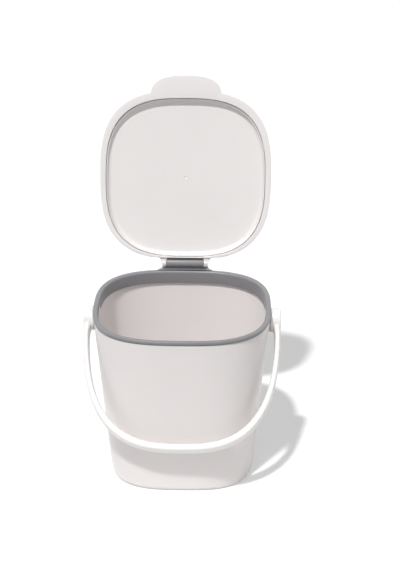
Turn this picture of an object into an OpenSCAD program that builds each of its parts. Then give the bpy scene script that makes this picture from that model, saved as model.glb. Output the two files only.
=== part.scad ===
// Countertop compost caddy: a tapered bin, a lift-off collar with the hinged lid, and a swinging bail.
// The caddy stands on z = 0, its front faces -Y, and the lid is drawn open.

/* [Rim] */
// Width of the collar, the widest outline of the caddy without its bail
rim_w = 226; // [160:1:300]
// Depth of the collar, front to back
rim_d = 224; // [160:1:300]
// Squareness of the rim's outline: 2 is an ellipse, more is squarer
rim_square = 2.9; // [2.3:0.05:4]

/* [Bin] */
// Height of the bin, from the floor to its rim
bin_h = 212; // [170:1:300]
// Width of the bin at its base
base_w = 185; // [120:1:220]
// Depth of the bin at its base
base_d = 197; // [120:1:220]
// Squareness of the base outline
base_square = 3.15; // [2.3:0.05:4]
// Thickness of the bin's wall
bin_wall = 2.4; // [1.6:0.1:4]
// Thickness of the bin's floor
bin_floor = 3; // [2:0.1:6]
// Outside radius between the wall and the base
base_round = 6; // [2:0.5:12]
// Inside radius between the wall and the floor
inner_round = 10; // [3:0.5:20]

/* [Collar] */
// How far the collar stands proud of the bin all round
collar_proud = 1; // [0.5:0.1:3]
// Height of the collar's outer band
band_h = 3.8; // [3:0.1:10]
// Height of the dark line between the band and the bin
shadow_gap = 0.9; // [0.4:0.1:2]
// Thickness of the skirt that drops inside the bin
skirt_t = 1.8; // [1.2:0.1:3]
// Depth of the skirt below the bin's rim
skirt_h = 12; // [5:0.5:25]
// Radius of the collar's upper outside edge
collar_edge = 1.2; // [0.5:0.1:2]
// How far the groove of the dark line lies inside the bin's outer face
seat_inset = 0.6; // [0.2:0.1:1.2]

/* [Hinge] */
// Gap between the hinge barrel and the collar's back
barrel_gap = 0.7; // [0.5:0.1:4]
// Height of the hinge axis above the collar's top
hinge_up = 6.3; // [6:0.5:10]
// Diameter of the hinge barrel on the collar
barrel_d = 12; // [10:0.5:14]
// Length of the hinge barrel
barrel_l = 50; // [30:1:80]
// Diameter of the hinge pin
hinge_pin_d = 4; // [2.5:0.1:5]
// Width of each lug where it leaves the lid
lug_root_w = 8.2; // [6:0.1:12]
// Width of each lug at its heel
lug_heel_w = 3.8; // [3:0.1:6]
// How far the heel stands out past the lug's round end
heel_step = 0.4; // [0.2:0.1:1]
// How far the pin reaches into each lug
pin_hold = 4; // [2.5:0.1:5]
// How far the hinge bracket stands out past the heel of each lug
bracket_over = 1.9; // [0.5:0.1:6]
// Extra width of the bracket on each side where it joins the collar
bracket_flare = 6; // [0:0.5:12]
// How far the bracket reaches down behind the bin
bracket_drop = 9; // [5:0.5:15]
// Thickness of the bracket's wedge at its foot
bracket_foot = 3; // [1:0.5:6]
// Angle between the closed and the open lid
lid_open = 104; // [60:1:115]

/* [Lid] */
// How far the lid stands out past the collar at the front and the sides
lid_over = 0.3; // [0:0.1:3]
// How far the lid stands out past the collar at the back, beside the hinge
lid_back_over = 1.4; // [0:0.1:3]
// Gap between the lid's straight back edge and the hinge barrel
lid_back_gap = 2.5; // [0.5:0.1:6]
// Squareness of the lid's outline
lid_square = 2.85; // [2:0.05:6]
// Height of the lid's upright side
lid_side_h = 7; // [5:0.5:12]
// Height of the lid's crowned top above its side
lid_crown_h = 9; // [6:0.5:16]
// Width of the sloping border of the crowned top
crown_reach = 45; // [20:1:80]
// Chamfer of the lid's lower edge
lid_edge = 0.8; // [0.3:0.1:1.5]
// Wall thickness of the lid shell
lid_wall = 2.2; // [1.6:0.1:3.5]
// Width of the flat flange at the sides of the underside of the lid
flange_w = 7.2; // [6:0.1:12]
// Width of the flange at the front
flange_front_w = 10.2; // [6:0.1:16]
// Width of the flange at the back, beside the hinge
flange_back_w = 5; // [5:0.1:12]
// Depth of the panel under the flange
recess_h = 8; // [5:0.1:12]
// Thickness of the wall between the flange and the liner
flange_wall = 1.8; // [1.2:0.1:3]
// Thickness of the liner's panel
liner_t = 1.6; // [1.2:0.1:3]
// Thickness of the liner's rim
liner_rim_t = 1.2; // [0.8:0.1:2]
// Gap between the liner's rim and the wall of the recess
liner_gap = 0.6; // [0.3:0.1:2]
// How far the liner's rim lies below the flange
liner_drop = 2; // [0.5:0.1:3]
// Radius of the cove between the liner's rim and its panel
cove_r = 5; // [2:0.1:6]
// Width of the thumb tab at its root
tab_w = 92.5; // [40:1:120]
// How far the thumb tab stands out in front of the lid
tab_reach = 20; // [10:0.5:30]
// Thickness of the thumb tab
tab_t = 3; // [2:0.1:5]
// Height of the thumb tab above the underside of the lid
tab_up = 0; // [0:0.1:3]
// Squareness of the thumb tab's outline
tab_square = 2.5; // [2:0.05:4]

/* [Bail] */
// Length of each eye along its pivot
hub_l = 13.4; // [10:0.1:20]
// Gap that the grip leaves to the thumb tab as the bail swings over the closed lid
grip_clear = 29.5; // [15:0.1:60]
// Squareness of the bail's curve
bail_square = 2.8; // [2:0.05:4]
// Thickness of the bail's arms, seen from the front
arm_t = 7.5; // [5:0.1:10]
// Thickness of the bail's grip, seen from the front
grip_t = 10; // [6:0.1:14]
// Width of the bail, seen from the side
strap_w = 20.5; // [10:0.5:26]
// Diameter of the eye at the end of each arm
eye_d = 31.6; // [24:0.1:40]
// Length over which each arm narrows below its eye
neck_l = 60; // [30:1:90]
// How far each arm is narrower than its eye on each side where it leaves it
neck_inset = 2.5; // [0:0.1:5]

/* [Pivot] */
// Depth of the top of each eye below the bin's rim
eye_drop = 0.2; // [0:0.1:30]
// How far the boss stands out of the bin's wall
boss_proud = 1.5; // [0.5:0.1:4]
// How far the boss is smaller than the eye all round
boss_inset = 0.8; // [0.2:0.1:4]
// Diameter of the post that the bail turns on
post_d = 12; // [8:0.5:16]
// Diameter of the cap's head
cap_head_d = 18; // [14:0.5:22]
// Thickness of the cap's head
cap_head_t = 2.7; // [1.5:0.1:4]
// Diameter of the cap's stem
cap_stem_d = 5; // [3:0.1:6]
// Length of the cap's stem
cap_stem_l = 7; // [4:0.5:8]

/* [Clearances] */
// Gap between bodies that rest on or pass each other
rest_gap = 0.3; // [0.2:0.05:0.6]
// Gap between the collar's skirt and the inside of the bin
skirt_gap = 0.4; // [0.2:0.05:1]
// Radial clearance of a running shaft in its bore
run_gap = 0.05; // [0.02:0.01:0.1]
// Radial clearance of the cap's head in the bail
head_gap = 0.4; // [0.2:0.05:0.8]

/* [Hidden] */

$fn = 64;
outline_steps = 96;
bail_steps = 72;
round_step = 18;
edge_step = 30;
over = 1;

white = [0.93, 0.91, 0.91];
bail_white = [0.97, 0.96, 0.95];
grey = [0.53, 0.54, 0.56];
steel = [0.72, 0.73, 0.75];

// heights of the stack from the bin's rim to the closed lid
collar_seat_z = bin_h + rest_gap;
band_z = collar_seat_z + shadow_gap;
band_mid_z = band_z + band_h / 2;
collar_top_z = band_z + band_h;
lid_z = collar_top_z + rest_gap;

// hinge axis, and the half width of the barrel with its lugs
hinge_back = barrel_d / 2 + barrel_gap;
hinge_y = rim_d / 2 + hinge_back;
hinge_z = collar_top_z + hinge_up;
heel = hinge_up - rest_gap;
lug_x = barrel_l / 2 + rest_gap;
pin_end_x = lug_x + pin_hold;
bracket_x = lug_x + lug_heel_w + bracket_over;
lug_reach = barrel_d / 2 + lid_back_gap;

// the closed lid's outline, its straight back edge, and the recess under it
lid_w = rim_w + 2 * lid_over;
lid_d = rim_d + lid_over + lid_back_over;
lid_mid_y = (lid_back_over - lid_over) / 2;
lid_back_y = hinge_y - lug_reach;
recess_mid_y = lid_mid_y + (flange_front_w - flange_back_w) / 2;

// pivots
boss_d = eye_d - 2 * boss_inset;
pivot_z = bin_h - eye_drop - eye_d / 2;
boss_face_x = bin_w_at(pivot_z) / 2 + boss_proud;
hub_x = boss_face_x + rest_gap;
bail_x = hub_x + hub_l;
cap_out_x = bail_x - rest_gap;
post_end_x = cap_out_x - cap_head_t;
root_x = base_w / 4;

// the bail passes in front of the thumb tab of the closed lid
tab_top_z = lid_z + tab_up + tab_t;
grip_in = norm([rim_d / 2 + lid_over + tab_reach, tab_top_z - pivot_z]) + grip_clear;
bail_reach = grip_in + grip_t;

// angle of the bail in front of straight down, at which the grip rests on the bin's sloping front
front_slope = (rim_d / 2 - collar_proud - base_d / 2) / bin_h;
grip_corner = norm([grip_in, strap_w / 2]) * norm([1, front_slope]);
front_reach = base_d / 2 + front_slope * pivot_z + rest_gap;
bail_rest = asin(front_reach / grip_corner)
    - atan2(front_slope * grip_in - strap_w / 2, grip_in + front_slope * strap_w / 2);

// collar opening and skirt
skirt_z = bin_h - skirt_h;
skirt_out = max(rim_w - bin_w_at(skirt_z), rim_d - bin_d_at(skirt_z)) / 2 + bin_wall + skirt_gap;
opening_in = skirt_out + skirt_t;

function lerp(a, b, t) = a + (b - a) * t;
function bin_w_at(z) = lerp(base_w, rim_w - 2 * collar_proud, z / bin_h);
function bin_d_at(z) = lerp(base_d, rim_d - 2 * collar_proud, z / bin_h);
function bin_square_at(z) = lerp(base_square, rim_square, z / bin_h);

// radius of a rounded square of half size 1 in direction a
function square_r(a, n) = pow(pow(abs(cos(a)), n) + pow(abs(sin(a)), n), -1 / n);

// points of a rounded square w wide and d deep, from angle a0 to a1
function rounded_square(w, d, n, a0 = 0, a1 = 360, steps = outline_steps) =
    [for (i = [0:steps - (a1 - a0 == 360 ? 1 : 0)])
        let (a = a0 + (a1 - a0) * i / steps)
        [w / 2 * square_r(a, n) * cos(a), d / 2 * square_r(a, n) * sin(a)]];

module rim_outline(inset = 0) {
    polygon(rounded_square(rim_w - 2 * inset, rim_d - 2 * inset, rim_square));
}

// outline of the recess under the lid, grown by grow
module recess_outline(grow = 0) {
    level = recess_level(0, -grow);
    translate([0, recess_mid_y])
        polygon(rounded_square(level[1], level[2], level[3]));
}

// solid through a list of levels, lowest first, each [height, width, depth, squareness] of a rounded square
module loft(levels) {
    n = outline_steps;
    top = len(levels) - 1;
    points = [for (l = levels) for (p = rounded_square(l[1], l[2], l[3])) [p[0], p[1], l[0]]];
    sides = [for (k = [0:top - 1]) for (i = [0:n - 1])
        let (a = k * n + i, b = k * n + (i + 1) % n)
        each [[a, a + n, b + n], [a, b + n, b]]];
    polyhedron(points, concat([[for (i = [0:n - 1]) i]], sides, [[for (i = [n - 1:-1:0]) top * n + i]]));
}

// level of the rim outline at height z, drawn in by inset
function rim_level(z, inset = 0) = [z, rim_w - 2 * inset, rim_d - 2 * inset, rim_square];

// level of the lid's outline at height z, drawn in by inset
function lid_level(z, inset) = [z, lid_w - 2 * inset, lid_d - 2 * inset, lid_square];

// level of the recess under the lid at height z, drawn in by inset
function recess_level(z, inset) =
    [z, lid_w - 2 * (flange_w + inset), lid_d - flange_front_w - flange_back_w - 2 * inset, lid_square];

// level of the bin's outside at height z, drawn in by inset
function bin_level(z, inset = 0) = [z, bin_w_at(z) - 2 * inset, bin_d_at(z) - 2 * inset, bin_square_at(z)];

// the bin's form drawn in by inset, from z0 to z1, with its lower edge rounded to radius r
module bin_form(z0, z1, inset, r) {
    loft(concat([for (a = [0:round_step:90]) bin_level(z0 + r * (1 - cos(a)), inset + r * (1 - sin(a)))],
                [bin_level(z1, inset)]));
}

// a shaft or bore along X from x0 to x1
module rod_x(d, x0, x1) {
    translate([x0, 0, 0])
        rotate([0, 90, 0])
            cylinder(d = d, h = x1 - x0);
}

// a profile drawn in Y and Z, carried along X from x0 to x1
module slab_x(x0, x1) {
    translate([x0, 0, 0])
        rotate([90, 0, 90])
            linear_extrude(x1 - x0)
                children();
}

module both_sides() {
    children();
    mirror([1, 0, 0])
        children();
}

module bin_body() {
    color(white)
        difference() {
            union() {
                bin_form(0, bin_h, 0, base_round);
                both_sides()
                    translate([0, 0, pivot_z]) {
                        rod_x(boss_d, root_x, boss_face_x);
                        rod_x(post_d, root_x, post_end_x);
                    }
            }
            bin_form(bin_floor, bin_h + over, bin_wall, inner_round);
            both_sides()
                translate([0, 0, pivot_z])
                    rod_x(cap_stem_d, post_end_x - cap_stem_l - over, post_end_x + over);
        }
}

module collar_ring() {
    difference() {
        union() {
            loft(concat([rim_level(band_z)],
                        [for (a = [0:edge_step:90])
                            let (drop = collar_edge * (1 - sin(a)))
                            rim_level(collar_top_z - drop, collar_edge * (1 - cos(a)))]));
            translate([0, 0, collar_seat_z])
                linear_extrude(band_mid_z - collar_seat_z)
                    rim_outline(collar_proud + seat_inset);
            translate([0, 0, skirt_z])
                linear_extrude(band_mid_z - skirt_z)
                    rim_outline(skirt_out);
        }
        translate([0, 0, skirt_z - over])
            linear_extrude(collar_top_z - skirt_z + 2 * over)
                rim_outline(opening_in);
    }
}

// bracket behind the collar: a flared shelf with a wedge under it
module collar_bracket() {
    back_y = hinge_y + barrel_d / 2;
    root_y = rim_d / 2 - opening_in / 2;
    foot_z = collar_top_z - bracket_drop;
    translate([0, 0, band_z])
        linear_extrude(band_h)
            polygon([[-bracket_x - bracket_flare, root_y], [bracket_x + bracket_flare, root_y],
                     [bracket_x, back_y], [-bracket_x, back_y]]);
    slab_x(-bracket_x, bracket_x)
        polygon([[rim_d / 2, band_mid_z], [rim_d / 2, foot_z], [rim_d / 2 + bracket_foot, foot_z],
                 [back_y, band_z], [back_y, band_mid_z]]);
}

module rim_collar() {
    color(grey)
        difference() {
            union() {
                collar_ring();
                collar_bracket();
                translate([0, hinge_y, hinge_z])
                    rod_x(barrel_d, -barrel_l / 2, barrel_l / 2);
                // web that carries the barrel on the bracket
                slab_x(-barrel_l / 2, barrel_l / 2)
                    translate([hinge_y - barrel_d / 4, band_mid_z])
                        square([barrel_d / 2, hinge_z - band_mid_z]);
            }
            translate([0, hinge_y, hinge_z])
                rod_x(hinge_pin_d + 2 * run_gap, -barrel_l / 2 - over, barrel_l / 2 + over);
        }
}

// turns what is drawn with the lid closed back about the hinge to the open lid
module opened() {
    translate([0, hinge_y, hinge_z])
        rotate([-lid_open, 0, 0])
            translate([0, -hinge_y, -hinge_z])
                children();
}

// the crowned outside of the closed lid, drawn in by inset, from z0 up
module lid_form(z0, inset) {
    side_z = lid_z + lid_side_h;
    crown_h = lid_crown_h - inset;
    intersection() {
        translate([0, lid_mid_y, 0])
            loft(concat([lid_level(z0, inset + lid_edge), lid_level(z0 + lid_edge, inset)],
                        [for (a = [0:round_step:90])
                            lid_level(side_z + crown_h * sin(a), inset + crown_reach * (1 - cos(a)))]));
        // straight back edge
        translate([-lid_w, lid_back_y - inset - 2 * lid_d, z0 - over])
            cube([2 * lid_w, 2 * lid_d, lid_d]);
    }
}

// one lug of the closed lid: round end, heel that stops the lid, and a link to the lid's side
module lid_lug() {
    link_z = lid_z + 2 * lid_edge;
    intersection() {
        slab_x(lug_x, lug_x + lug_root_w) {
            translate([hinge_y, hinge_z]) {
                circle(r = heel - heel_step);
                rotate(lid_open)
                    translate([0, -heel])
                        square(heel);
            }
            translate([lid_back_y - lid_wall, link_z])
                square([lug_reach + lid_wall, hinge_z + heel / 2 - link_z]);
        }
        // the outer face slants in from the lid to the heel
        translate([0, hinge_y, hinge_z])
            rotate([lid_open + 90, 0, 0])
                translate([0, 0, -2 * barrel_d])
                    linear_extrude(4 * barrel_d)
                        polygon([[lug_x - over, -heel - over], [lug_x + lug_heel_w, -heel - over],
                                 [lug_x + lug_heel_w, -heel], [lug_x + lug_root_w, lug_reach],
                                 [lug_x + lug_root_w, 2 * lug_reach], [lug_x - over, 2 * lug_reach]]);
    }
}

module thumb_tab() {
    root = flange_front_w / 2;
    translate([0, root - rim_d / 2 - lid_over, lid_z + tab_up])
        linear_extrude(tab_t)
            polygon(rounded_square(tab_w, 2 * (tab_reach + root), tab_square, 180, 360));
}

module lid_shell() {
    color(white)
        opened()
            difference() {
                union() {
                    difference() {
                        lid_form(lid_z, 0);
                        // hollow above the flange, round the wall that carries the liner
                        difference() {
                            lid_form(lid_z + lid_wall, lid_wall);
                            translate([0, 0, lid_z])
                                linear_extrude(recess_h)
                                    recess_outline(flange_wall);
                        }
                        // recess that the liner closes, and the seat of its edge
                        translate([0, 0, lid_z - over])
                            linear_extrude(recess_h + 2 * over)
                                recess_outline();
                        translate([0, 0, lid_z + recess_h])
                            linear_extrude(liner_t)
                                recess_outline(flange_wall / 2);
                    }
                    thumb_tab();
                    both_sides()
                        lid_lug();
                }
                translate([0, hinge_y, hinge_z])
                    rod_x(hinge_pin_d, -pin_end_x, lug_x + lug_root_w + over);
            }
}

module lid_liner() {
    panel_z = lid_z + recess_h;
    rim_z = lid_z + liner_drop;
    rim_in = liner_gap + liner_rim_t;
    dish_z = min(rim_z, panel_z - cove_r) - over;
    color(white)
        opened()
            difference() {
                union() {
                    translate([0, 0, panel_z])
                        linear_extrude(liner_t)
                            recess_outline(flange_wall / 2);
                    translate([0, 0, rim_z])
                        linear_extrude(panel_z + liner_t - rim_z)
                            recess_outline(-liner_gap);
                }
                // the dish inside the rim, with its cove
                translate([0, recess_mid_y, 0])
                    loft(concat([recess_level(dish_z, rim_in)],
                                [for (a = [0:edge_step / 2:90])
                                    recess_level(panel_z - cove_r * (1 - sin(a)), rim_in + cove_r * (1 - cos(a)))]));
            }
}

module hinge_pin() {
    color(steel)
        translate([0, hinge_y, hinge_z])
            rod_x(hinge_pin_d, -pin_end_x, pin_end_x);
}

// the bail seen from the front, hanging straight down from its pivots
module bail_front() {
    outer = rounded_square(2 * bail_x, 2 * bail_reach, bail_square, 180, 360, bail_steps);
    inner = rounded_square(2 * (bail_x - arm_t), 2 * grip_in, bail_square, 360, 180, bail_steps);
    polygon(concat(outer, inner));
}

// the bail seen from the side: the arm narrows from its eye to the strap
module bail_side() {
    neck = eye_d / 2 - neck_inset;
    polygon([[-neck, 0], [-neck, -eye_d / 4], [-strap_w / 2, -neck_l], [-strap_w / 2, -bail_reach - over],
             [strap_w / 2, -bail_reach - over], [strap_w / 2, -neck_l], [neck, -eye_d / 4], [neck, 0]]);
}

module bail_handle() {
    color(bail_white)
        translate([0, 0, pivot_z])
            rotate([-bail_rest, 0, 0])
                difference() {
                    union() {
                        intersection() {
                            translate([0, eye_d / 2, 0])
                                rotate([90, 0, 0])
                                    linear_extrude(eye_d)
                                        bail_front();
                            slab_x(-bail_x, bail_x)
                                bail_side();
                        }
                        both_sides()
                            rod_x(eye_d, hub_x, bail_x);
                    }
                    both_sides() {
                        rod_x(post_d + 2 * run_gap, hub_x - over, bail_x + over);
                        rod_x(cap_head_d + 2 * head_gap, post_end_x - rest_gap, bail_x + over);
                    }
                }
}

module pivot_cap() {
    color(bail_white)
        translate([0, 0, pivot_z]) {
            rod_x(cap_head_d, post_end_x, cap_out_x);
            rod_x(cap_stem_d, post_end_x - cap_stem_l, post_end_x + cap_head_t / 2);
        }
}

module pivot_cap_left() {
    mirror([1, 0, 0])
        pivot_cap();
}

module pivot_cap_right() {
    pivot_cap();
}

bin_body();
rim_collar();
lid_shell();
lid_liner();
hinge_pin();
bail_handle();
pivot_cap_left();
pivot_cap_right();
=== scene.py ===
import math

import bmesh
import bpy
from mathutils import Matrix, Vector


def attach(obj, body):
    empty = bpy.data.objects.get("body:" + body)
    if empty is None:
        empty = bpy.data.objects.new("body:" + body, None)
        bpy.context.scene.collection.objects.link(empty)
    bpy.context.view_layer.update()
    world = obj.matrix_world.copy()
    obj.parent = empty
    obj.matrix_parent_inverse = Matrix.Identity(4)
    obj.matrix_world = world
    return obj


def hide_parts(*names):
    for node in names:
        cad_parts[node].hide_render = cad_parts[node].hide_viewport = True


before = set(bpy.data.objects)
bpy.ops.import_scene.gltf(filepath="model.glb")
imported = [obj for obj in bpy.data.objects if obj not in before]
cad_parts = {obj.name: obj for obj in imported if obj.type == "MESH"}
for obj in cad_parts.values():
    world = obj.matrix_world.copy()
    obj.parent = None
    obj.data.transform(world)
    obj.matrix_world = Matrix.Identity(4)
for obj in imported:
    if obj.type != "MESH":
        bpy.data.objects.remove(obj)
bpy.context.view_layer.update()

# The camera stands in front of the caddy and a little to the right, and looks
# down at its rim from about 24 degrees, through a long lens.
camera_elevation = math.radians(23.80)
camera_azimuth = math.radians(1.11)
camera_roll = math.radians(0.20)
camera_distance = 1.870
aim = Vector((0.02246, 0.00044, 0.24358))
back = Vector((math.sin(camera_azimuth) * math.cos(camera_elevation),
               -math.cos(camera_azimuth) * math.cos(camera_elevation),
               math.sin(camera_elevation)))
camera_data = bpy.data.cameras.new("studio_camera")
camera_data.lens = 93.16
camera_data.sensor_width = 36
camera = bpy.data.objects.new("studio_camera", camera_data)
camera.rotation_mode = "QUATERNION"
camera.location = aim + camera_distance * back
camera.rotation_quaternion = (back.to_track_quat("Z", "Y").to_matrix()
                              @ Matrix.Rotation(camera_roll, 3, "Z")).to_quaternion()
bpy.context.collection.objects.link(camera)
bpy.context.scene.camera = camera

# The bin is one injection moulding of satin white plastic, a tapered rounded
# square with a 2.4 mm wall. It stands on a foot ring round its hollowed base,
# and a boss with a post on each side carries the bail.
MM = 0.001
OUTLINE_SIDES = 160
rim_w, rim_d, rim_square = 226, 224, 2.9
base_w, base_d, base_square = 185, 197, 3.15
bin_h, bin_wall, bin_floor = 212, 2.4, 3
lip_r, floor_r, foot_r = 0.9, 10, 6
foot_ring_w, foot_ring_h, foot_ring_r = 13, 1.2, 1
foot_ring_slope, centre_inset = 1.5, 84
collar_proud = 1
pivot_z = 196
boss_r, post_r = 15, 6
boss_face_x, boss_root = 112.03, 6
post_end_x = 122.73
nearly_straight = math.radians(89)
smear = 0.08


def square_reach(turn, squareness):
    """How far a rounded square of half size 1 reaches in the direction turn."""
    powers = abs(math.cos(turn)) ** squareness + abs(math.sin(turn)) ** squareness
    return powers ** (-1 / squareness)


def level(z, wide, deep, squareness):
    """A rounded square wide by deep at height z, as the place of each turn of a loop."""
    def place(turn):
        reach = square_reach(turn, squareness)
        return Vector((wide / 2 * reach * math.cos(turn), deep / 2 * reach * math.sin(turn), z))
    return place


def eased(corners, steps=5):
    """The line through corners, each (u, v, radius), with an arc of that radius at each one."""
    line = [Vector(corners[0][:2])]
    for before, here, after in zip(corners, corners[1:], corners[2:]):
        corner, radius = Vector(here[:2]), here[2]
        to_before, to_after = Vector(before[:2]) - corner, Vector(after[:2]) - corner
        half = to_before.angle(to_after) / 2
        if radius == 0 or half > nearly_straight:
            line.append(corner)
            continue
        reach = radius / math.tan(half)
        middle = (to_before.normalized() + to_after.normalized()).normalized()
        centre = corner + middle * radius / math.sin(half)
        start = corner + to_before.normalized() * reach - centre
        sweep = start.angle_signed(corner + to_after.normalized() * reach - centre)
        line += [centre + Matrix.Rotation(-sweep * k / steps, 2) @ start for k in range(steps + 1)]
    return line + [Vector(corners[-1][:2])]


def draw_through(bm, sides, stations, closed=False):
    """Extrudes a loop of edges through the stations, to end in faces or to meet itself."""
    turn = bm.verts.layers.float.get("turn") or bm.verts.layers.float.new("turn")
    loop = bmesh.ops.create_circle(bm, cap_ends=not closed, segments=sides, radius=1)["verts"]
    edges = list({e for v in loop for e in v.link_edges})
    for v in loop:
        v[turn] = math.atan2(v.co.y, v.co.x)
        v.co = stations[0](v[turn])
    for station in stations[1:]:
        made = bmesh.ops.extrude_edge_only(bm, edges=edges)["geom"]
        loop = {g for g in made if isinstance(g, bmesh.types.BMVert)}
        edges = [g for g in made if isinstance(g, bmesh.types.BMEdge) and set(g.verts) <= loop]
        for v in loop:
            v.co = station(v[turn])
    if closed:
        bmesh.ops.remove_doubles(bm, verts=bm.verts[:], dist=1e-6)
    else:
        bmesh.ops.edgeloop_fill(bm, edges=edges)


def turn_on_x(bm, profile, centre, side=1, steps=72):
    """Spins a closed profile of (x, radius) points about the X line through centre."""
    verts = [bm.verts.new((side * x, centre[0], centre[1] + r)) for x, r in profile]
    edges = [bm.edges.new(pair) for pair in zip(verts, verts[1:])]
    if profile[0][1] > 0:
        edges.append(bm.edges.new((verts[-1], verts[0])))
    bmesh.ops.spin(bm, geom=verts + edges, cent=(0, *centre), axis=(1, 0, 0), angle=2 * math.pi,
                   steps=steps, use_merge=True)
    bmesh.ops.remove_doubles(bm, verts=bm.verts[:], dist=1e-5)


def finished(name, bm, material, body, slot, *nodes, sharp=32):
    """Makes the piece from a mesh drawn in millimetres, and hangs it on its body."""
    bmesh.ops.scale(bm, vec=(MM, MM, MM), verts=bm.verts[:])
    bmesh.ops.recalc_face_normals(bm, faces=bm.faces[:])
    mesh = bpy.data.meshes.new(name)
    bm.to_mesh(mesh)
    bm.free()
    mesh.shade_smooth()
    mesh.set_sharp_from_angle(angle=math.radians(sharp))
    mesh.materials.append(material)
    piece = bpy.data.objects.new(name, mesh)
    bpy.context.collection.objects.link(piece)
    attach(piece, body)
    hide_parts(*nodes)


def moulded(name, colour, shade, roughness):
    """Moulded plastic: faint clouds in its colour, smears in its gloss, and the tool's fine grain."""
    material = bpy.data.materials.new(name)
    material.use_nodes = True
    nodes, links = material.node_tree.nodes, material.node_tree.links
    shader = nodes["Principled BSDF"]
    shader.inputs["IOR"].default_value = 1.49
    place = nodes.new("ShaderNodeTexCoord")

    def noise(scale, detail, rough=0.5):
        made = nodes.new("ShaderNodeTexNoise")
        made.inputs["Scale"].default_value = scale
        made.inputs["Detail"].default_value = detail
        made.inputs["Roughness"].default_value = rough
        links.new(place.outputs["Object"], made.inputs["Vector"])
        return made.outputs["Fac"]

    clouds = nodes.new("ShaderNodeMix")
    clouds.data_type = "RGBA"
    clouds.inputs["A"].default_value = (*colour, 1)
    clouds.inputs["B"].default_value = (*shade, 1)
    links.new(noise(14, 3, 0.6), clouds.inputs["Factor"])
    links.new(clouds.outputs["Result"], shader.inputs["Base Color"])
    smears = nodes.new("ShaderNodeMapRange")
    smears.inputs["From Min"].default_value = 0.35
    smears.inputs["From Max"].default_value = 0.7
    smears.inputs["To Min"].default_value = roughness
    smears.inputs["To Max"].default_value = roughness + smear
    links.new(noise(38, 4, 0.65), smears.inputs["Value"])
    links.new(smears.outputs["Result"], shader.inputs["Roughness"])
    bump = nodes.new("ShaderNodeBump")
    bump.inputs["Strength"].default_value = 0.02
    bump.inputs["Distance"].default_value = 0.3 * MM
    links.new(noise(1800, 2), bump.inputs["Height"])
    links.new(bump.outputs["Normal"], shader.inputs["Normal"])
    return material


def bin_level(z, inset):
    """The bin's outline at height z, drawn in by inset."""
    up = z / bin_h
    wide = base_w + (rim_w - 2 * collar_proud - base_w) * up
    deep = base_d + (rim_d - 2 * collar_proud - base_d) * up
    return level(z, wide - 2 * inset, deep - 2 * inset, base_square + (rim_square - base_square) * up)


bin_plastic = moulded("bin_plastic", (0.84, 0.80, 0.79), (0.80, 0.765, 0.755), 0.30)
bin_section = [(centre_inset, foot_ring_h, 0), (foot_ring_w, foot_ring_h, foot_ring_r),
               (foot_ring_w - foot_ring_slope, 0, foot_ring_r), (0, 0, foot_r),
               (0, bin_h, lip_r), (bin_wall, bin_h, lip_r),
               (bin_wall, bin_floor, floor_r), (centre_inset, bin_floor, 0)]
bin_mesh = bmesh.new()
draw_through(bin_mesh, OUTLINE_SIDES, [bin_level(z, inset) for inset, z in eased(bin_section, 8)])
boss_root_x = boss_face_x - boss_root
post_section = eased([(boss_root_x, boss_r, 0), (boss_face_x, boss_r, 0.6),
                      (boss_face_x, post_r, 0.5), (post_end_x, post_r, 0.4), (post_end_x, 0, 0)])
for side in (-1, 1):
    turn_on_x(bin_mesh, [(boss_root_x, 0)] + post_section, (0, pivot_z), side)
finished("bin", bin_mesh, bin_plastic, "bin", "bin_plastic", "bin_body")

# The collar is a grey moulding that drops onto the bin's rim: a band with a
# skirt inside the bin, and behind it a flared bracket with the hinge barrel.
collar_top_z = 217
band_z, band_h, band_groove = 213.2, 3.8, 1.6
seat_z, skirt_z, seam_z = 212.3, 200, 208
skirt_out, opening_in = 4.9, 6.7
hinge_y, hinge_z = 118.7, 223.3
barrel_r, barrel_half, bore = 6, 25, 2.05
web_half_t, web_end = 3, 0.3
bracket_x, bracket_root_y, bracket_y = 31, 107, 124.7
bracket_flare, flare_y, flare_l, flare_curve = 6, 111.5, 13.2, 1.5
wedge_y, wedge_t, wedge_z, wedge_out_y = 112, 3, 208, 124.5
bracket_edge_r, overlap, seam_gap = 0.8, 1, 0.01


def rim_level(z, inset):
    """The rim's outline at height z, drawn in by inset."""
    return level(z, rim_w - 2 * inset, rim_d - 2 * inset, rim_square)


def prism(bm, outline, along, depth):
    """A face through the outline's points, extruded by depth along a direction."""
    face = bm.faces.new([bm.verts.new(p) for p in outline])
    made = bmesh.ops.extrude_face_region(bm, geom=[face])["geom"]
    top = [g for g in made if isinstance(g, bmesh.types.BMVert)]
    bmesh.ops.translate(bm, vec=Vector(along) * depth, verts=top)
    return list(face.verts), top


def rounded_edges(bm, edges, radius):
    """Bevels edges to a radius."""
    bmesh.ops.bevel(bm, geom=edges, offset=radius, offset_type="OFFSET", affect="EDGES",
                    segments=3, profile=0.5, material=-1, clamp_overlap=True)


def sharp_edges(verts, least=30):
    """The edges of a prism that turn by more than least degrees."""
    return [e for e in {e for v in verts for e in v.link_edges}
            if len(e.link_faces) == 2 and e.calc_face_angle() > math.radians(least)]


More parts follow.
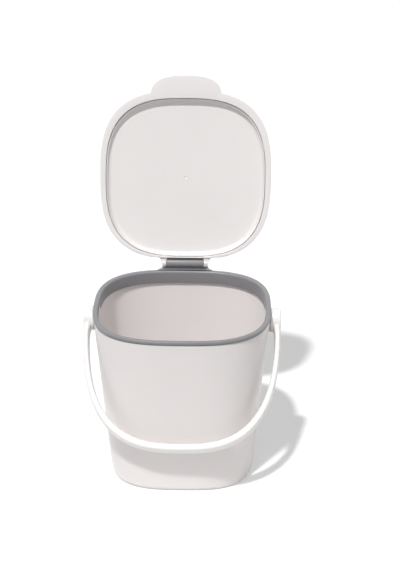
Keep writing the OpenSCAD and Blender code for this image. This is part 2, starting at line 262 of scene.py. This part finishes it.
collar_plastic = moulded("collar_plastic", (0.255, 0.252, 0.266), (0.233, 0.232, 0.246), 0.38)
collar_section = [(opening_in, seam_z, 0), (opening_in, skirt_z, 0.5),
                  (skirt_out, skirt_z, 0.5), (skirt_out, seat_z, 0.2),
                  (band_groove, seat_z, 0.2), (band_groove, band_z, 0.15),
                  (0, band_z, 0.5), (0, collar_top_z, 1.2),
                  (opening_in, collar_top_z, 2.4), (opening_in, seam_z, 0)]
collar_mesh = bmesh.new()
draw_through(collar_mesh, OUTLINE_SIDES,
             [rim_level(z, inset) for inset, z in eased(collar_section)], closed=True)
bracket_side = [(bracket_x + bracket_flare * (1 - math.sin(math.radians(a))) ** flare_curve,
                 flare_y + flare_l * a / 90) for a in range(0, 90, 10)]
bracket_half = [(bracket_x + bracket_flare, bracket_root_y)] + bracket_side + [(bracket_x, bracket_y)]
bracket_outline = bracket_half + [(-x, y) for x, y in reversed(bracket_half)]
shelf = prism(collar_mesh, [(x, y, band_z) for x, y in bracket_outline], (0, 0, 1), band_h)
rounded_edges(collar_mesh, sharp_edges(shelf[0] + shelf[1]), bracket_edge_r)
wedge_side = [(wedge_y, wedge_z), (wedge_y + wedge_t, wedge_z), (wedge_out_y, band_z),
              (wedge_out_y, band_z + overlap), (wedge_y, band_z + overlap)]
wedge = prism(collar_mesh, [(-bracket_x, y, z) for y, z in wedge_side], (1, 0, 0), 2 * bracket_x)
rounded_edges(collar_mesh, sharp_edges(wedge[0] + wedge[1]), bracket_edge_r)
web_x = barrel_half - web_end
web_side = [(hinge_y - web_half_t, band_z + overlap), (hinge_y + web_half_t, band_z + overlap),
            (hinge_y + web_half_t, hinge_z), (hinge_y - web_half_t, hinge_z)]
prism(collar_mesh, [(-web_x, y, z) for y, z in web_side], (1, 0, 0), 2 * web_x)
barrel_section = eased([(0, bore, 0), (-barrel_half, bore, 0.3), (-barrel_half, barrel_r, 0.6),
                        (barrel_half, barrel_r, 0.6), (barrel_half, bore, 0.3), (seam_gap, bore, 0)])
turn_on_x(collar_mesh, barrel_section, (hinge_y, hinge_z))
finished("collar", collar_mesh, collar_plastic, "collar", "collar_plastic", "rim_collar")

# The lid is a white moulding, crowned on top and hollow underneath, with a flat
# flange round a deep recess. A thumb tab leaves its front, and two lugs with
# heels that stop the open lid leave its straight back edge. It is drawn closed.
lid_z, lid_side_z, lid_crown_h, crown_reach = 217.3, 224.3, 9, 45
lid_w, lid_d, lid_square, lid_mid_y, lid_back_y = 227.2, 225.7, 2.85, 0.55, 110.5
lid_wall, flange_wall, lid_foot_r = 2.2, 1.8, 0.8
crown_middle, side_step, lead = 100, 0.3, 20
recess_w, recess_d, recess_mid_y, recess_z = 212.2, 211.4, 3.6, 225.3
tab_w, tab_root_y, tab_reach, tab_square = 92.5, -107.2, 25.1, 2.5
tab_t, tab_top_r, tab_fillet = 3, 1.2, 2.6
FILLET_STEPS, FILLET_WEIGHT = 10, 5
LID_SIDES = 320
lug_x, lug_root_w, lug_heel_w, lug_r, lug_reach = 25.3, 8.2, 3.8, 5.6, 8.5
lug_under, lug_over, lug_heel = -4.4, 3.0, 6
lug_flare_y, lug_flare, lug_edge_r = 5, 3, 0.4
cover_in_r, cover_out_r, cover_gap = 6.7, 8.6, 0.5
lid_open = math.radians(104)


def shifted(place, y, back_y=None, soft=1.2):
    """A loop moved by y, with its back held softly in front of back_y."""
    def moved(turn):
        point = place(turn) + Vector((0, y, 0))
        if back_y is not None:
            point.y = (point.y + back_y - math.hypot(point.y - back_y, soft)) / 2
        return point
    return moved


def lid_level(z, inset, back_inset=0):
    """The lid's outline at height z, drawn in by inset."""
    outline = level(z, lid_w - 2 * inset, lid_d - 2 * inset, lid_square)
    return shifted(outline, lid_mid_y, lid_back_y - back_inset)


def recess_level(z, grow, back_y=None):
    """The outline of the recess under the lid at height z, grown by grow."""
    outline = level(z, recess_w + 2 * grow, recess_d + 2 * grow, lid_square)
    return shifted(outline, recess_mid_y, back_y)


def crown_levels(inset, steps=26):
    """The crowned top drawn in by inset, from its middle out to its side."""
    rise = lid_crown_h - inset
    arcs = [math.pi / 2 * (1 - k / steps) for k in range(steps + 1)]
    return [lid_level(lid_side_z + rise * math.sin(a), inset + crown_reach * (1 - math.cos(a)), inset)
            for a in arcs]


def open_lid(bm):
    """Turns what is drawn with the lid closed back to the open lid."""
    bmesh.ops.rotate(bm, cent=(0, hinge_y, hinge_z), matrix=Matrix.Rotation(-lid_open, 3, "X"),
                     verts=bm.verts[:])


def edge_y(x):
    """The front of the lid's outline at x, and the lean of its edge there."""
    share = abs(x) / (lid_w / 2)
    reach = (1 - share ** lid_square) ** (1 / lid_square)
    return lid_mid_y - lid_d / 2 * reach, math.atan(lid_d / lid_w * (share / reach) ** (lid_square - 1))


def tab_line(inset, steps=80):
    """The right half of the tab's outline drawn in by inset, from its fillet to its tip."""
    x = tab_w / 2 + tab_fillet * (1 - math.sin(edge_y(tab_w / 2)[1]))
    y, lean = edge_y(x)
    centre = Vector((x, y)) + tab_fillet * Vector((math.sin(lean), -math.cos(lean)))
    arcs = [math.pi / 2 + lean + (math.pi / 2 - lean) * k / FILLET_STEPS for k in range(FILLET_STEPS + 1)]
    line = [centre + (tab_fillet + inset) * Vector((math.cos(a), math.sin(a))) for a in arcs]
    first = math.asin((tab_root_y - centre.y) / tab_reach)
    for k in range(1, steps + 1):
        a = first + (math.pi / 2 - first) * k / steps
        reach = square_reach(a, tab_square)
        line.append(Vector(((tab_w / 2 - inset) * reach * math.cos(a),
                            tab_root_y - (tab_reach - inset) * reach * math.sin(a))))
    return line


def foot_level(z, inset, tab_z, tab_inset):
    """The lid's outline at height z, with the thumb tab's in front of it at height tab_z."""
    edge = lid_level(z, inset)
    line = tab_line(tab_inset)
    fillet_x, fillet_y = tab_line(0)[0]
    turn_in = math.atan2(-(fillet_y - lid_mid_y) / lid_d, fillet_x / lid_w)
    spans = [(b - a).length * (FILLET_WEIGHT if k < FILLET_STEPS else 1)
             for k, (a, b) in enumerate(zip(line, line[1:]))]

    def place(turn):
        from_front = abs(math.remainder(turn + math.pi / 2, 2 * math.pi))
        if from_front >= math.pi / 2 - turn_in:
            return edge(turn)
        left = (1 - from_front / (math.pi / 2 - turn_in)) * sum(spans)
        for k, span in enumerate(spans):
            if left <= span or k == len(spans) - 1:
                break
            left -= span
        point = line[k].lerp(line[k + 1], min(left / span, 1))
        return Vector((math.copysign(point.x, math.cos(turn)), point.y, tab_z))
    return place


lid_plastic = moulded("lid_plastic", (0.86, 0.835, 0.825), (0.82, 0.795, 0.785), 0.32)
lid_mesh = bmesh.new()
tab_top_z = lid_z + tab_t
tab_edge = eased([(lead, tab_top_z, 0), (0, tab_top_z, tab_top_r),
                  (0, lid_z, lid_foot_r), (lead, lid_z, 0)])[1:-1]
side_edge = ([(0, tab_top_z - side_step * k) for k in range(6)]
             + eased([(0, lid_side_z, 0), (0, lid_z, lid_foot_r), (lead, lid_z, 0)])[1:-1])
flange_edge = eased([(-lead, lid_z, 0), (0, lid_z, lid_foot_r), (0, recess_z, 0)])
hollow_back_y = lid_back_y - lid_wall
draw_through(lid_mesh, LID_SIDES,
             [lid_level(lid_side_z + lid_crown_h, crown_middle)]
             + crown_levels(0) + [lid_level(tab_top_z, 0)]
             + [foot_level(z, inset, tab_z, tab_inset)
                for (inset, z), (tab_inset, tab_z) in zip(side_edge, tab_edge)]
             + [recess_level(z, -grow) for grow, z in flange_edge[1:]]
             + [recess_level(recess_z, flange_wall, hollow_back_y),
                recess_level(lid_z + lid_wall, flange_wall, hollow_back_y),
                lid_level(lid_z + lid_wall, lid_wall, lid_wall)]
             + crown_levels(lid_wall)[::-1]
             + [lid_level(lid_side_z + lid_crown_h - lid_wall, crown_middle)])

# between the lugs the crown ends in a thin cover over the hinge barrel
cover_arc = [math.radians(a) for a in range(112, 181, 4)]
cover_x = lug_x - cover_gap
cover = [(-cover_x, hinge_y + r * math.cos(a), hinge_z + r * math.sin(a))
         for r, arc in ((cover_in_r, cover_arc), (cover_out_r, cover_arc[::-1])) for a in arc]
prism(lid_mesh, cover, (1, 0, 0), 2 * cover_x)


def lug_arc(first, last, step):
    """The round of a lug about the hinge, from first to last degrees."""
    turns = [math.radians(a) for a in range(first, last, step)]
    return [(lug_r * math.cos(a), lug_r * math.sin(a)) for a in turns]


link_steps = (-lug_flare_y, -6.2, -7, -7.6, -8.1, -lug_reach, -9, -10.7)
heel_turn = lid_open - math.pi / 2
heel_u, heel_v = lug_heel * math.cos(heel_turn), lug_heel * math.sin(heel_turn)
lug_line = ([(u, lug_under) for u in reversed(link_steps)] + lug_arc(-128, 15, 12)
            + [(heel_u, heel_v), (heel_u - heel_v, heel_u + heel_v), (-heel_v, heel_u)]
            + lug_arc(106, 148, 10) + [(u, lug_over) for u in link_steps])
slant = Vector((-math.sin(lid_open), math.cos(lid_open)))
for side in (-1, 1):
    near, far = prism(lid_mesh, [(side * lug_x, hinge_y + u, hinge_z + v) for u, v in lug_line],
                      (side, 0, 0), 1)
    for v in far:
        along = Vector((v.co.y - hinge_y, v.co.z - hinge_z)).dot(slant)
        share = min(max((along + lug_r) / (lug_reach + lug_r), 0), 1)
        flare = min(max((hinge_y - v.co.y - lug_flare_y) / (lug_reach - lug_flare_y), 0), 1)
        v.co.x = side * (lug_x + lug_heel_w + (lug_root_w - lug_heel_w) * share
                         + lug_flare * (1 - math.sqrt(1 - flare * flare)))
    rims = [e for e in sharp_edges(near + far)
            if abs(e.verts[0].co.x - e.verts[1].co.x) < lug_flare]
    rounded_edges(lid_mesh, rims, lug_edge_r)
open_lid(lid_mesh)
finished("lid", lid_mesh, lid_plastic, "lid", "lid_plastic", "lid_shell")

# The liner is a thin white tray that closes the lid's hollow: a slightly dished
# panel with a cove up to a low rim, a narrow gap round it, and the small dimple
# of the mould's gate in its middle.
liner_t, liner_gap, liner_rim_t, liner_drop = 1.6, 0.6, 1.2, 2
cove_r, liner_lip_r, dish, DISH_STEPS = 5.5, 0.5, 2, 16
gate_in_r, gate_floor_r, gate_r, gate_out_r = 0.5, 1.2, 2.2, 3
gate_depth, gate_soft = 0.8, 0.3
liner_plastic = moulded("liner_plastic", (0.86, 0.835, 0.825), (0.82, 0.795, 0.785), 0.34)
plate_z = recess_z + liner_t
rim_inset = liner_gap + liner_rim_t
rim_z = lid_z + liner_drop
dish_z = recess_z + dish
gate_z = dish_z + gate_depth
dimple = eased([(gate_in_r, gate_z, 0), (gate_floor_r, gate_z, gate_soft),
                (gate_r, dish_z, gate_soft), (gate_out_r, dish_z, 0)], 4)
panel = [(recess_w / 2 * (1 - k / DISH_STEPS), recess_z + dish * (1 - (k / DISH_STEPS) ** 2))
         for k in range(1, DISH_STEPS)]
tray_edge = eased([(panel[-1][0] + rim_inset, panel[-1][1], 0), (rim_inset, recess_z, cove_r),
                   (rim_inset, rim_z, liner_lip_r), (liner_gap, rim_z, liner_lip_r),
                   (liner_gap, recess_z, 0)], 8)
liner_mesh = bmesh.new()
draw_through(liner_mesh, OUTLINE_SIDES,
             [shifted(level(z, 2 * r, 2 * r, 2), recess_mid_y) for r, z in dimple]
             + [recess_level(z, -inset) for inset, z in panel[:-1]]
             + [recess_level(z, -inset) for inset, z in tray_edge]
             + [recess_level(recess_z, flange_wall / 2), recess_level(plate_z, flange_wall / 2)]
             + [recess_level(z + liner_t, -inset) for inset, z in panel[::-1]])
open_lid(liner_mesh)
finished("lid_panel", liner_mesh, liner_plastic, "lid", "liner_plastic", "lid_liner")

# The hinge pin is a plain steel rod, ground to size. It is pressed into the lid's
# lugs, and turns with the lid in the collar's barrel.
pin_steel = bpy.data.materials.new("pin_steel")
pin_steel.use_nodes = True
pin_nodes, pin_links = pin_steel.node_tree.nodes, pin_steel.node_tree.links
pin_shader = pin_nodes["Principled BSDF"]
pin_shader.inputs["Metallic"].default_value = 1
pin_shader.inputs["Base Color"].default_value = (0.60, 0.60, 0.61, 1)
pin_place = pin_nodes.new("ShaderNodeTexCoord")
pin_scale = pin_nodes.new("ShaderNodeMapping")
pin_scale.inputs["Scale"].default_value = (4000, 60, 60)
pin_grind = pin_nodes.new("ShaderNodeTexNoise")
pin_grind.inputs["Scale"].default_value = 1
pin_rough = pin_nodes.new("ShaderNodeMapRange")
pin_rough.inputs["To Min"].default_value = 0.22
pin_rough.inputs["To Max"].default_value = 0.42
pin_links.new(pin_place.outputs["Object"], pin_scale.inputs["Vector"])
pin_links.new(pin_scale.outputs["Vector"], pin_grind.inputs["Vector"])
pin_links.new(pin_grind.outputs["Fac"], pin_rough.inputs["Value"])
pin_links.new(pin_rough.outputs["Result"], pin_shader.inputs["Roughness"])
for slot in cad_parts["hinge_pin"].material_slots:
    slot.material = pin_steel

# The bail is a white moulding that swings on the bin's posts: round eyes, arms
# that narrow to a strap, and a broad grip with softly rounded edges. At rest
# its grip leans on the front of the bin.
hub_x, bail_x = 112.33, 125.73
eye_r, bore_r, cap_recess_r, cap_recess_x = 15.8, 6.05, 9.4, 122.43
arm_t, grip_t, grip_in, strap_w = 7.5, 10, 164, 20.5
bail_square, arm_square = 2.8, 3.6
neck_w, neck_l = 26.6, 60
throat_t, throat_l = 2.5, 3
arm_start, arm_seat_r, arm_seat_end = eye_r - 1.5, eye_r - 1.2, eye_r - 1
bore_seam_x = hub_x + 5
bail_rest = math.radians(42.3)
bail_plastic = moulded("bail_plastic", (0.88, 0.865, 0.85), (0.85, 0.835, 0.82), 0.30)
BAIL_STEPS = 96
SECTION_SIDES = 48


def bail_station(share):
    """The bail's cross-section at share of the way from its left eye to its right one."""
    a = math.pi * (1 + share)
    reach = square_reach(a, bail_square)
    outer = Vector((bail_x * reach * math.cos(a), (grip_in + grip_t) * reach * math.sin(a)))
    inner = Vector(((bail_x - arm_t) * reach * math.cos(a), grip_in * reach * math.sin(a)))
    down = -(outer.y + inner.y) / 2
    wide = neck_w + (strap_w - neck_w) * min(max((down - eye_r / 2) / (neck_l - eye_r / 2), 0), 1)
    inner.x -= math.copysign(throat_t * math.exp(-max(down - eye_r, 0) / throat_l), inner.x)

    def place(turn):
        bulge = square_reach(turn, arm_square)
        across = (outer + inner) / 2 + (outer - inner) / 2 * bulge * math.cos(turn)
        y = wide / 2 * bulge * math.sin(turn)
        z = across.y
        if down < arm_seat_end:
            z = -math.sqrt(max(arm_seat_r ** 2 - y * y, 1))
        return Vector((across.x, y, z))
    return place


def bail_shares():
    """The shares of the way round at which the bail's section is drawn, from eye to eye."""
    first = math.asin(arm_start / (grip_in + grip_t)) / math.pi
    return [first + (1 - 2 * first) * k / BAIL_STEPS for k in range(BAIL_STEPS + 1)]


bail_mesh = bmesh.new()
draw_through(bail_mesh, SECTION_SIDES, [bail_station(share) for share in bail_shares()])
hub_section = eased([(bore_seam_x, bore_r, 0), (hub_x, bore_r, 0.4), (hub_x, eye_r, 1.2),
                     (bail_x, eye_r, 1.6), (bail_x, cap_recess_r, 0.5),
                     (cap_recess_x, cap_recess_r, 0.2), (cap_recess_x, bore_r, 0.3),
                     (bore_seam_x + seam_gap, bore_r, 0)])
for side in (-1, 1):
    turn_on_x(bail_mesh, hub_section, (0, 0), side)
bmesh.ops.rotate(bail_mesh, cent=(0, 0, 0), matrix=Matrix.Rotation(-bail_rest, 3, "X"),
                 verts=bail_mesh.verts[:])
bmesh.ops.translate(bail_mesh, vec=(0, 0, pivot_z), verts=bail_mesh.verts[:])
finished("bail", bail_mesh, bail_plastic, "bail", "bail_plastic", "bail_handle")

# Each pivot cap is a white button with a stem that is pressed into the end of
# a post, and keeps the bail's eye on it.
cap_r, cap_out_x, cap_dome, cap_edge_r, stem_r, stem_l = 9, 125.43, 0.7, 0.7, 2.5, 7
dome_rings = (7.6, 6, 4.4, 2.8, 1.2, 0)
stem_end_x = post_end_x - stem_l
cap_section = eased([(stem_end_x, 0, 0), (stem_end_x, stem_r, 0.4), (post_end_x, stem_r, 0.3),
                     (post_end_x, cap_r, 0.3), (cap_out_x - cap_dome, cap_r, cap_edge_r)]
                    + [(cap_out_x - cap_dome * (r / cap_r) ** 2, r, 0) for r in dome_rings])
for side, cap in ((-1, "pivot_cap_left"), (1, "pivot_cap_right")):
    cap_mesh = bmesh.new()
    turn_on_x(cap_mesh, cap_section, (0, pivot_z), side)
    finished("cap_left" if side < 0 else "cap_right", cap_mesh, bail_plastic, "bin", "bail_plastic", cap)

# The studio is a plain white floor that keeps the shadow, a soft sun from the
# front left, and a pale room, dark only straight overhead, that fills the shadows.
# The floor throws back less light with distance, as a table of ordinary size would.
floor_half = 12
floor_seen_paint, floor_seen_glow = 0.75, 0.28
near_floor, near_return = 0.25, 0.8
far_floor, far_return = 1.0, 0.25
sun_from = Vector((-0.185, -0.403, 0.896))
room_shades = ((0, 0.44), (0.45, 0.44), (0.65, 0.56), (0.84, 0.56), (0.9, 0.05))


def seen_white(nodes, links):
    """1 for the rays that see the background: those from the camera, a gloss or a clear piece."""
    path = nodes.new("ShaderNodeLightPath")
    seen = path.outputs["Is Camera Ray"]
    for ray in ("Is Glossy Ray", "Is Transmission Ray"):
        either = nodes.new("ShaderNodeMath")
        either.operation = "MAXIMUM"
        links.new(seen, either.inputs[0])
        links.new(path.outputs[ray], either.inputs[1])
        seen = either.outputs["Value"]
    return seen


floor_mesh = bmesh.new()
bmesh.ops.create_grid(floor_mesh, x_segments=1, y_segments=1, size=floor_half)
floor_data = bpy.data.meshes.new("studio_floor")
floor_mesh.to_mesh(floor_data)
floor_mesh.free()
studio_floor = bpy.data.objects.new("studio_floor", floor_data)
bpy.context.collection.objects.link(studio_floor)
floor_paint = bpy.data.materials.new("studio_floor")
floor_paint.use_nodes = True
floor_nodes, floor_links = floor_paint.node_tree.nodes, floor_paint.node_tree.links
floor_shader = floor_nodes["Principled BSDF"]
floor_shader.inputs["Roughness"].default_value = 0.8
floor_shader.inputs["Specular IOR Level"].default_value = 0.1
floor_shader.inputs["Emission Color"].default_value = (1, 1, 1, 1)
floor_seen = seen_white(floor_nodes, floor_links)
floor_glow = floor_nodes.new("ShaderNodeMath")
floor_glow.operation = "MULTIPLY"
floor_glow.inputs[1].default_value = floor_seen_glow
floor_links.new(floor_seen, floor_glow.inputs[0])
floor_place = floor_nodes.new("ShaderNodeTexCoord")
floor_reach = floor_nodes.new("ShaderNodeVectorMath")
floor_reach.operation = "LENGTH"
floor_return = floor_nodes.new("ShaderNodeMapRange")
floor_return.interpolation_type = "SMOOTHSTEP"
floor_return.inputs["From Min"].default_value = near_floor
floor_return.inputs["From Max"].default_value = far_floor
floor_return.inputs["To Min"].default_value = near_return
floor_return.inputs["To Max"].default_value = far_return
floor_white = floor_nodes.new("ShaderNodeMapRange")
floor_white.inputs["To Max"].default_value = floor_seen_paint
floor_links.new(floor_place.outputs["Object"], floor_reach.inputs[0])
floor_links.new(floor_reach.outputs["Value"], floor_return.inputs["Value"])
floor_links.new(floor_return.outputs["Result"], floor_white.inputs["To Min"])
floor_links.new(floor_seen, floor_white.inputs["Value"])
floor_links.new(floor_white.outputs["Result"], floor_shader.inputs["Base Color"])
floor_links.new(floor_glow.outputs["Value"], floor_shader.inputs["Emission Strength"])
floor_data.materials.append(floor_paint)

sun_data = bpy.data.lights.new("soft_sun", "SUN")
sun_data.energy = 2.6
sun_data.angle = math.radians(3.5)
soft_sun = bpy.data.objects.new("soft_sun", sun_data)
soft_sun.rotation_mode = "QUATERNION"
soft_sun.rotation_quaternion = sun_from.to_track_quat("Z", "Y")
bpy.context.collection.objects.link(soft_sun)

world = bpy.data.worlds.new("pale_room")
world.use_nodes = True
bpy.context.scene.world = world
world_nodes, world_links = world.node_tree.nodes, world.node_tree.links
room = world_nodes["Background"]
room.inputs["Color"].default_value = (1, 1, 1, 1)
way = world_nodes.new("ShaderNodeTexCoord")
split = world_nodes.new("ShaderNodeSeparateXYZ")
overhead = world_nodes.new("ShaderNodeValToRGB")
ceiling = overhead.color_ramp.elements
for height, shade in room_shades[1:-1]:
    ceiling.new(height)
for element, (height, shade) in zip(ceiling, room_shades):
    element.position = height
    element.color = (shade, shade, shade, 1)
brightness = world_nodes.new("ShaderNodeMapRange")
brightness.inputs["To Max"].default_value = 1.0
world_links.new(way.outputs["Generated"], split.inputs["Vector"])
world_links.new(split.outputs["Z"], overhead.inputs["Fac"])
world_links.new(overhead.outputs["Color"], brightness.inputs["To Min"])
world_links.new(seen_white(world_nodes, world_links), brightness.inputs["Value"])
world_links.new(brightness.outputs["Result"], room.inputs["Strength"])
bpy.context.scene.view_settings.view_transform = "Standard"
